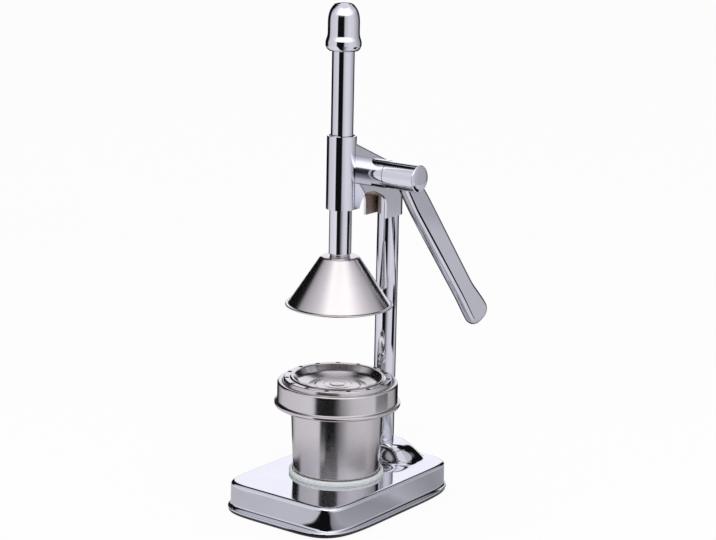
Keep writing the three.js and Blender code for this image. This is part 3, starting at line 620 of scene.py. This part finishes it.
def drum(name, radius, low, high, axis="Z", centre=(0, 0, 0), count=96):
    """A round bar along Z or X, between two places on its axis."""
    angles = [2 * math.pi * i / count for i in range(count)]
    ring = [(radius * math.cos(a), radius * math.sin(a)) for a in angles]
    x, y, z = centre
    if axis == "Z":
        return lofted(name, [[(x + a, y + b, level) for a, b in ring] for level in (low, high)])
    return lofted(name, [[(level, y + a, z + b) for a, b in ring] for level in (low, high)])


SHAFT = (0, 24.0, 286.0)
WEB_HALF, WEB_LOW, WEB_HIGH = 12.25, 242.0, 322.0
SLOPE_START, SLOPE_FALL, SLOPE_ROUND = 314.5, 0.437, 2.2
SLEEVE_LOW, ARCH_END, BELOW_HEAD = 256.5, 48.4, 230
head = lofted("head_casting_skin", [stadium(WEB_HALF, 0, COLUMN_Y, z) for z in (WEB_LOW, WEB_HIGH)])
pick(head)
bpy.ops.object.mode_set(mode="EDIT")
bpy.ops.mesh.select_all(action="SELECT")
bpy.ops.mesh.bisect(plane_co=(0, 0, SLOPE_START * MM), plane_no=Vector((0, SLOPE_FALL, 1)).normalized(),
                    use_fill=True, clear_outer=True)
bpy.ops.mesh.bevel(offset=SLOPE_ROUND * MM, segments=6, affect="EDGES")
bpy.ops.object.mode_set(mode="OBJECT")
arch_curve = flowing([(9.8, SLEEVE_LOW), (12.4, 262.2), (16.4, 267.0), (20.5, 268.9), (25.4, 269.3),
                      (31.8, 267.8), (37.5, 265.3), (43.4, 262.3), (47.1, 258.2), (ARCH_END, 254.0)], 4)
arch = slab("arch", [(-30, BELOW_HEAD), (-30, SLEEVE_LOW), *arch_curve, (ARCH_END, BELOW_HEAD)], -20, 20)
carve(head, arch)
print("web with arch:", len(head.data.polygons), "faces")

# %% Sleeve, boss and the hollows
GEAR_ROOM = 9.2
sleeve = drum("sleeve", 12.65, SLEEVE_LOW, 318.3)
boss = drum("boss", 11.8, -17.65, 32.0, "X", SHAFT)
carve(head, sleeve, boss, operation="UNION")
ram_bore = drum("ram_bore", 11.0, 250.0, 325.0)
socket = lofted("socket", [stadium(9.8, 30.0, COLUMN_Y, z) for z in (235.0, 262.0)])
pocket = drum("pocket", 15.2, -GEAR_ROOM, GEAR_ROOM, "X", SHAFT)
mouth = slab("mouth", [(8.8, 250.0), (39.2, 250.0), (39.2, 286.0), (8.8, 286.0)], -GEAR_ROOM, GEAR_ROOM)
shaft_bore = drum("shaft_bore", 8.3, -20.0, 34.0, "X", SHAFT)
carve(head, ram_bore, socket, pocket, mouth, shaft_bore)
round_edges(head, 0.9, 4)
# Inside the head the chrome gets painted shade: a darker, warmer colour in this box stands in for the shade
# and brownish reflection in its hollows.
head_chrome = chrome("chrome_casting_head", **CAST, painted_shade_box=((-10.3, 9.0, 240.0), (10.3, 74.0, 278.5)))
hand_in(head, "stand", "chrome_casting", "head_casting", finish=head_chrome)

# %% [markdown]
# ## The ram
# The ram is a chromed tube with a flat along its back for the rack. Its cap is a turned
# acorn shape with a bead round its lower edge: the outline is a smooth curve through
# measured points, and a crease runs round the small crown on top.

# %% Ram tube and cap
rod_corners = [(5.5, 217.8, 0.4), (9.5, 217.8, 0.7), (9.5, 401.45, 0.4), (5.5, 401.45, 0.4)]
rod = turned("ram_tube", soften(rod_corners, 4), 128)
carve(rod, slab("flat", [(7.8, 261.7), (14, 261.7), (14, 372.3), (7.8, 372.3)], -12, 12))
smooth(rod, 25)
hand_in(rod, "ram", "chrome_tube", "ram_rod")

cap_side = flowing([(13.0, 389.2), (13.9, 390.2), (14.9, 392.2), (15.15, 394.0), (14.95, 396.6),
                    (14.1, 399.4), (13.55, 401.6), (13.4, 404.5), (13.4, 409.5), (13.35, 413.3),
                    (13.05, 416.5), (12.3, 419.8), (10.95, 423.0), (8.9, 425.8)], 5)
crown = flowing([(8.3, 426.3), (7.6, 427.1), (6.0, 427.85), (3.5, 428.35), (0.0, 428.55)], 4)
cap_hollow = [(0, 401.75), (9.8, 401.75), (9.8, 389.0), (10.2, 388.75), (12.5, 388.75)]
cap = smooth(turned("ram_cap_skin", [*cap_hollow, *cap_side, *crown], closed=False), 40)
hand_in(cap, "ram", "chrome_casting", "ram_cap")

# %% [markdown]
# ## The hood
# The hood is spun from steel sheet: a cone with a rounded shoulder, and a narrow flange
# rolled out at its foot. It is drawn as one closed section, outside and inside, so that
# the sheet has its real thickness from below too. A thin bright ring stands between the
# ram and the hood, a little narrower than the ram.

# %% Hood and its collar
hood_corners = [(4.3, 216.0, 0), (16.2, 216.0, 3.6), (43.2, 175.1, 0.9), (45.7, 175.1, 0.65),
                (45.7, 173.7, 0.65), (42.0, 173.7, 0.7), (14.9, 214.8, 2.2), (4.3, 214.8, 0)]
hood = smooth(turned("press_hood_skin", soften(hood_corners)), 60)
hand_in(hood, "ram", "satin_stainless", "press_hood")

spacer_corners = [(4.3, 216.0, 0.1), (8.4, 216.0, 0.25), (8.4, 217.8, 0.25), (4.3, 217.8, 0.1)]
spacer = smooth(turned("hood_collar_skin", soften(spacer_corners)), 60)
hand_in(spacer, "ram", "satin_stainless", "hood_collar")

# %% [markdown]
# ## The lever
# The lever is a cast bar with a flat face and fully rounded edges, broader towards its
# end, where it also bends a little. It is lofted through its thickness: each level is the
# bar's outline, drawn in by the rounding of the edge. Its hub is a thick bar across the
# top, closed by a domed cap.

# %% The outline of the lever
SHOULDER, WAIST, TIP_RUN, ARM_END = 37.7, 143.3, 32.7, 175.92
NECK_HALF, BROAD_HALF, WAIST_HALF, TIP_HALF = 10.6, 12.3, 11.6, 13.6
TIP_ASIDE, TIP_DEPTH, TIP_LEAN, TIP_POWER = 1.2, 12.5, 3.0, 2.5
ARM_X, ARM_HALF = 47.7, 5.0


def ease(t):
    t = min(max(t, 0.0), 1.0)
    return t * t * (3 - 2 * t)


def tip_share(d):
    return ease((d - WAIST) / TIP_RUN)


def arm_half_width(d):
    """Half the width at a distance from the shaft: neck, shoulder, waist and tip."""
    if d < SHOULDER:
        return NECK_HALF + (BROAD_HALF - NECK_HALF) * ease(d / SHOULDER)
    if d < WAIST:
        return BROAD_HALF + (WAIST_HALF - BROAD_HALF) * ease((d - SHOULDER) / (WAIST - SHOULDER))
    return WAIST_HALF + (TIP_HALF - WAIST_HALF) * tip_share(d)


def arm_outline(x, inset, side_steps=44, tip_steps=40):
    """The bar seen from the side, hanging straight down from the shaft, at one depth."""
    sides = []
    for i in range(side_steps):
        d = ARM_END * i / side_steps
        sides.append((TIP_ASIDE * tip_share(d), arm_half_width(d) - inset, -d))
    points = [(axis + half, z) for axis, half, z in sides]
    for i in range(tip_steps + 1):
        a = -math.pi * i / tip_steps
        points.append((TIP_ASIDE + (TIP_HALF - inset) * bowed(math.cos(a), TIP_POWER),
                       -ARM_END + (TIP_DEPTH - inset) * bowed(math.sin(a), TIP_POWER)))
    points += [(axis - half, z) for axis, half, z in reversed(sides)]
    return [(x, y, z - TIP_LEAN * y * tip_share(-z) / TIP_HALF) for y, z in points]


arm_levels = []
for k in range(21):
    turn = math.pi * k / 20 - math.pi / 2
    arm_levels.append(arm_outline(ARM_X + ARM_HALF * math.sin(turn), ARM_HALF * (1 - math.cos(turn))))
lever = lofted("lever_arm_skin", arm_levels)
print("lever bar:", len(lever.data.polygons), "faces")

# %% Hub, bore and cap
REST_ANGLE = 39.2
carve(lever, drum("hub", 11.5, 32.3, 61.7, "X"), operation="UNION")
carve(lever, drum("hub_bore", 6.3, 30.0, 64.0, "X"), drum("cap_seat", 9.6, 59.0, 66.0, "X"))
carve(lever, lay(drum("screw_hole", 2.8, 0.0, 13.0), turn=(-90, 0, 0), move=(ARM_X, 0, 0)))
round_edges(lever, 0.55, 3)
lay(lever, turn=(REST_ANGLE, 0, 0), move=SHAFT)
hand_in(lever, "lever", "chrome_casting", "lever_arm")

cap_corners = [(0, 59.3, 0), (9.3, 59.3, 0.3), (9.3, 61.7, 0), (11.5, 61.7, 0.1), (11.5, 62.7, 0.5),
               (10.9, 63.3, 0.9), (8.6, 63.7, 2.0), (5.0, 63.92, 2.5), (0, 64.0, 0)]
hub_cap = turned("hub_cap_skin", soften(cap_corners, closed=False), 128, closed=False)
lay(smooth(hub_cap, 40), turn=(0, 90, 0), move=SHAFT)
hand_in(hub_cap, "lever", "chrome_casting", "hub_cap")

# %% [markdown]
# ## The cup
# A deep-drawn steel cup, slightly tapered, with a small radius round its foot. The wall is
# one millimetre thick and the whole of it is one section, spun round.

# %% Cup
cup_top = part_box("cup")[1].z / MM
cup_corners = [(0, 26.8, 0), (37.3, 26.8, 4.0), (40.1, cup_top, 0.4), (39.1, cup_top, 0.4),
               (36.3, 27.8, 3.2), (0, 27.8, 0)]
cup = smooth(turned("cup_skin", soften(cup_corners, 8, closed=False), closed=False), 60)
hand_in(cup, "cup", "satin_stainless", "cup")

# %% [markdown]
# ## The strainer's collar and dish
# The collar slips over the cup: a short tube with a rolled bead at its foot and a rounded
# shoulder that turns in to a ledge. The dish stands on that ledge on a short skirt. Its rim is
# a bright ridge, with a ring of drain holes in the flat gutter outside it, and its middle
# rises in shallow steps. The holes are drilled with copies of one round bar.

# %% Collar
collar_corners = [(50.3, 86.3, 0.3), (53.2, 86.3, 0.9), (53.9, 87.4, 0.9), (53.9, 89.2, 0.9),
                  (51.5, 90.4, 1.1), (51.5, 106.9, 2.6), (47.9, 106.9, 0.8), (47.2, 105.5, 0.6),
                  (44.0, 105.5, 0.3), (44.0, 104.3, 0.3), (49.2, 104.3, 0.6), (50.3, 103.2, 1.0)]
collar = smooth(turned("strainer_collar_skin", soften(collar_corners)), 60)
hand_in(collar, "collar", "satin_stainless", "strainer_collar")

# %% Dish with its drain holes
HOLES, HOLE_RADIUS, HOLE_CIRCLE, FIRST_HOLE = 15, 2.0, 43.4, 1.4
dish_top = soften([(46.9, 106.4, 0.4), (45.6, 110.1, 1.2), (41.0, 109.9, 0.5), (39.4, 111.0, 0.7),
                   (37.9, 110.4, 1.0), (33.6, 105.2, 7.0), (25.4, 102.6, 3.5), (20.0, 102.6, 1.2),
                   (18.4, 103.1, 1.2), (12.6, 103.2, 0.9), (11.4, 103.55, 0.9), (7.4, 103.6, 0.9),
                   (6.2, 104.1, 0.9), (4.6, 104.3, 0.9), (0, 104.3, 0)], 6, closed=False)
dish_under = soften([(45.8, 105.85, 0), (44.6, 109.0, 1.0), (41.4, 108.9, 1.0), (39.3, 109.9, 1.0),
                     (33.4, 104.4, 5.0), (25.0, 101.8, 3.0), (0, 101.9, 0)], 5, closed=False)
dish_foot = (46.9, 105.85)
dish = turned("strainer_dish_skin", [*reversed(dish_under), dish_foot, *dish_top], closed=False)
for i in range(HOLES):
    a = math.radians(FIRST_HOLE + 360 / HOLES * i - 90)
    place = (HOLE_CIRCLE * math.cos(a), HOLE_CIRCLE * math.sin(a), 0)
    carve(dish, drum("drill", HOLE_RADIUS, 100, 115, centre=place, count=28))
smooth(dish, 40)
hand_in(dish, "dish", "satin_stainless", "strainer_dish")

# %% [markdown]
# ## The CAD pieces that stay
# Bushes, gears, screws and washers are right as they are. They only change their finish,
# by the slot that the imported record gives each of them.

# %% Finishes for the CAD pieces
for row in frame["record"]["subparts"]:
    node = frame["nodes"][row["node"]]
    node.data.materials.clear()
    node.data.materials.append(finishes[row["material_slot"]])

# %% [markdown]
# ## Floor and light
# Metal shows its surroundings, so most of the work of lighting chrome is in what stands
# round it. The floor is pale and keeps a soft shadow. The light on the object is plain:
# an even white sky and one soft lamp. Around the object stands a tent of pale grey cloth
# with dark slits, which only mirrors see: its slits give the tubes their dark lines.

# %% Floor
FLOOR_RADIUS, FLOOR_BORDER, WHITE_SHARE = 9, 3, 0.9
deselect()
bpy.ops.mesh.primitive_circle_add(vertices=96, radius=FLOOR_RADIUS, fill_type="NGON")
floor = named("floor")
bpy.ops.object.mode_set(mode="EDIT")
bpy.ops.mesh.select_all(action="SELECT")
bpy.ops.mesh.inset(thickness=FLOOR_BORDER)
bpy.ops.object.mode_set(mode="OBJECT")
material, shader, node, link = recipe("floor")
grain = noise(node, node("TexCoord").outputs["Object"], 60.0, 3.0)
link(tint(node, grain, (0.93, 0.93, 0.93), (0.97, 0.97, 0.97)), shader.inputs["Base Color"])
shader.inputs["Roughness"].default_value = 0.9
shader.inputs["Specular IOR Level"].default_value = 0.1


def looked_at(node, **settings):
    """1 for what the camera sees, straight or by way of a mirror or glass, 0 for stray light."""
    rays = node("LightPath").outputs
    seen = reckon(node, "ADD", rays["Is Camera Ray"], rays["Is Glossy Ray"], **settings)
    return reckon(node, "ADD", seen, rays["Is Transmission Ray"], **settings)


glow = node("Emission", {"Color": (1, 1, 1, 1), "Strength": 1.0}).outputs["Emission"]
share = reckon(node, "MULTIPLY", looked_at(node), WHITE_SHARE, use_clamp=True)
mix = node("MixShader", {"Fac": share, 1: shader.outputs["BSDF"], 2: glow}).outputs["Shader"]
link(mix, material.node_tree.nodes["Material Output"].inputs["Surface"])
floor.data.materials.append(material)
print("floor is", floor.dimensions.x, "m across")

# %% Sky and lamp
SKY_LIGHT = 0.78
world = bpy.data.worlds.new("sky")
bpy.context.scene.world = world
world.use_nodes = True
sky = world.node_tree.nodes["Background"].inputs
sky["Color"].default_value = (1, 1, 1, 1)
node = maker(world.node_tree)
level = span(node, looked_at(node, use_clamp=True), SKY_LIGHT, 1.0)
world.node_tree.links.new(level, sky["Strength"])

lamp = bpy.data.lights.new("soft_lamp", "AREA")
lamp.shape, lamp.size, lamp.energy = "DISK", 0.9, 7.0
lamp_object = bpy.data.objects.new("soft_lamp", lamp)
bpy.context.scene.collection.objects.link(lamp_object)
lamp_place, lamp_aim = Vector((0.55, -0.9, 1.5)), Vector((0, 0, 0.2))
lamp_object.matrix_world = (lamp_place - lamp_aim).to_track_quat("Z", "Y").to_matrix().to_4x4()
lamp_object.matrix_world.translation = lamp_place
lamp_object.visible_glossy = False
print("sky and lamp ready")

# %% [markdown]
# ### The tent
# The tent is one drum round the object. Its cloth glows a little and is seen by mirrors
# alone, so it neither shades the object nor hides it from any side. Three numbers say
# where a point of the cloth is: how far round it lies from the camera's side, how high it
# is, and how far out. Four bands of greys run round the object: the ground close by, the
# ground further out, the low wall and the high wall. Each has a dark slit or a bright
# panel in front, and all but the nearest are dark behind on the left and on the right.
# Chrome gets its black lines from such slits and flags. The ceiling is pale.

# %% A drum that mirrors see
TENT_RADIUS, TENT_HEIGHT, TENT_LIFT = 1.3, 2.6, 1.3012
CAMERA_SIDE, EYE_HEIGHT = 37.44, 0.2
deselect()
bpy.ops.mesh.primitive_cylinder_add(vertices=96, radius=TENT_RADIUS, depth=TENT_HEIGHT,
                                    location=(0, 0, TENT_LIFT))
tent = named("tent")
bpy.ops.object.mode_set(mode="EDIT")
bpy.ops.mesh.select_all(action="SELECT")
bpy.ops.mesh.flip_normals()
bpy.ops.object.mode_set(mode="OBJECT")
material, shader, node, link = recipe("tent_cloth")
parts = node("SeparateXYZ", {"Vector": node("TexCoord").outputs["Object"]}).outputs


def tent_math(operation, *values):
    return reckon(node, operation, *values)


def product_sum(a, b, c, d):
    return tent_math("ADD", tent_math("MULTIPLY", a, b), tent_math("MULTIPLY", c, d))


turn = Matrix.Rotation(math.radians(90 - CAMERA_SIDE), 2)
ahead = product_sum(parts["X"], turn[0][0], parts["Y"], turn[0][1])
aside = product_sum(parts["X"], turn[1][0], parts["Y"], turn[1][1])
radius = tent_math("SQRT", product_sum(ahead, ahead, aside, aside))
rise = tent_math("SUBTRACT", parts["Z"], EYE_HEIGHT)
around = tent_math("ADD", tent_math("DIVIDE", tent_math("ARCTAN2", aside, ahead), 2 * math.pi), 0.5)
height = tent_math("ADD", tent_math("DIVIDE", tent_math("ARCTAN2", rise, radius), math.pi), 0.5)
print("tent of", len(tent.data.polygons), "faces")

# %% Greys round the tent
DARK, BACK, BLUE = 0.006, 1.11, 1.06
BLACK_CLOTH, CEILING = (DARK, DARK, DARK, 1), (0.85, 0.85, 0.9, 1)


def round_share(degrees):
    return degrees / 360 + 0.5


def rise_share(degrees):
    return degrees / 180 + 0.5


def ramp(*stops):
    """A band of greys from (degrees round, brightness) stops; a third number is their blue."""
    made = node("ValToRGB", {"Fac": around})
    points = made.color_ramp.elements
    while len(points) > 1:
        points.remove(points[-1])
    for i, (degrees, grey, *blue) in enumerate(stops):
        place = round_share(degrees)
        point = points[0] if i == 0 else points.new(place)
        point.position = place
        point.color = (grey, grey, grey * (blue[0] if blue else BLUE), 1)
    return made.outputs["Color"]


low_wall = ramp(
    (-180, BACK), (-166, BACK), (-162, DARK), (-116, DARK), (-106, 0.7), (-60, 0.8), (-46, 0.88),
    (-42.5, DARK), (1, DARK), (7, 0.62), (38, 0.86), (72, 0.78), (90, 0.6), (104, 0.47), (112, 0.45),
    (122, 0.3), (127, DARK), (150, DARK), (155, BACK), (180, BACK))
high_wall = ramp(
    (-180, BACK), (-164, BACK), (-160, DARK), (-118, DARK), (-106, 0.55), (-62, 1.0), (-34, 1.75, 1),
    (34, 1.75, 1), (72, 1.05), (100, 0.66), (123, 0.6), (129, DARK), (150, DARK), (156, BACK), (180, BACK))
# The ground close by is darker than the ground further out, most of all on the right: painted shade, the
# press's own shadow on the ground as the mirrors see it.
shaded_near_ground = ramp(
    (-180, 0.5), (-128, 0.56), (-58, 0.6), (-27.5, 0.62), (-25, DARK), (1, DARK), (4.5, 0.26), (19, 0.42),
    (27, 0.4), (62, 0.33), (71, 0.37), (79, 0.5), (100, 0.34), (126, 0.4), (180, 0.5))
far_ground = ramp(
    (-180, DARK), (-146, DARK), (-134, 0.5), (-118, 0.8), (-60, 0.9), (-41, 0.92), (-38, DARK), (-6, DARK),
    (10, 0.3), (28, 0.72), (50, 0.8), (84, 0.82), (106, 0.61), (128, 0.5), (138, DARK), (180, DARK))
print("four bands of greys")

# %% Join the bands into one cloth
def passing(value, low, high):
    """0 below the first value, 1 above the second, and a soft step between."""
    return node("MapRange", {"Value": value, "From Min": low, "From Max": high},
                interpolation_type="SMOOTHSTEP").outputs["Result"]


def within(value, first, second, soft):
    """1 between the two values and 0 beyond them, with soft steps."""
    opening, closing = passing(value, first - soft, first), passing(value, second + soft, second)
    return tent_math("MULTIPLY", opening, closing)


def sector(first, second, soft):
    return within(around, round_share(first), round_share(second), soft / 360)


def storey(first, second, soft=3):
    return within(height, rise_share(first), rise_share(second), soft / 180)


ground = blend(node, passing(radius, 0.155, 0.175), shaded_near_ground, far_ground)
side_shadow = tent_math("MULTIPLY", within(radius, 0.42, 0.95, 0.03), sector(75, 104, 3))
ground = blend(node, side_shadow, ground, BLACK_CLOTH)
lower = blend(node, passing(radius, 1.14, 1.28), ground, low_wall)
cloth = blend(node, passing(height, rise_share(24), rise_share(32)), lower, high_wall)
behind = tent_math("MAXIMUM", passing(around, round_share(124), round_share(130)),
                   passing(around, round_share(-106), round_share(-120)))
flags = tent_math("MAXIMUM", sector(128, 156, 5), sector(-156, -116, 8))
screen = tent_math("MAXIMUM", tent_math("MULTIPLY", behind, storey(35, 46)),
                   tent_math("MULTIPLY", flags, storey(35, 57)))
cloth = blend(node, screen, cloth, BLACK_CLOTH)
cloth = blend(node, passing(height, rise_share(62), rise_share(66)), cloth, CEILING)
glow = node("Emission", {"Color": cloth, "Strength": 1.0}).outputs["Emission"]
link(glow, material.node_tree.nodes["Material Output"].inputs["Surface"])
tent.data.materials.append(material)
tent.visible_camera = tent.visible_diffuse = tent.visible_shadow = tent.visible_volume_scatter = False
print("tent cloth joined")
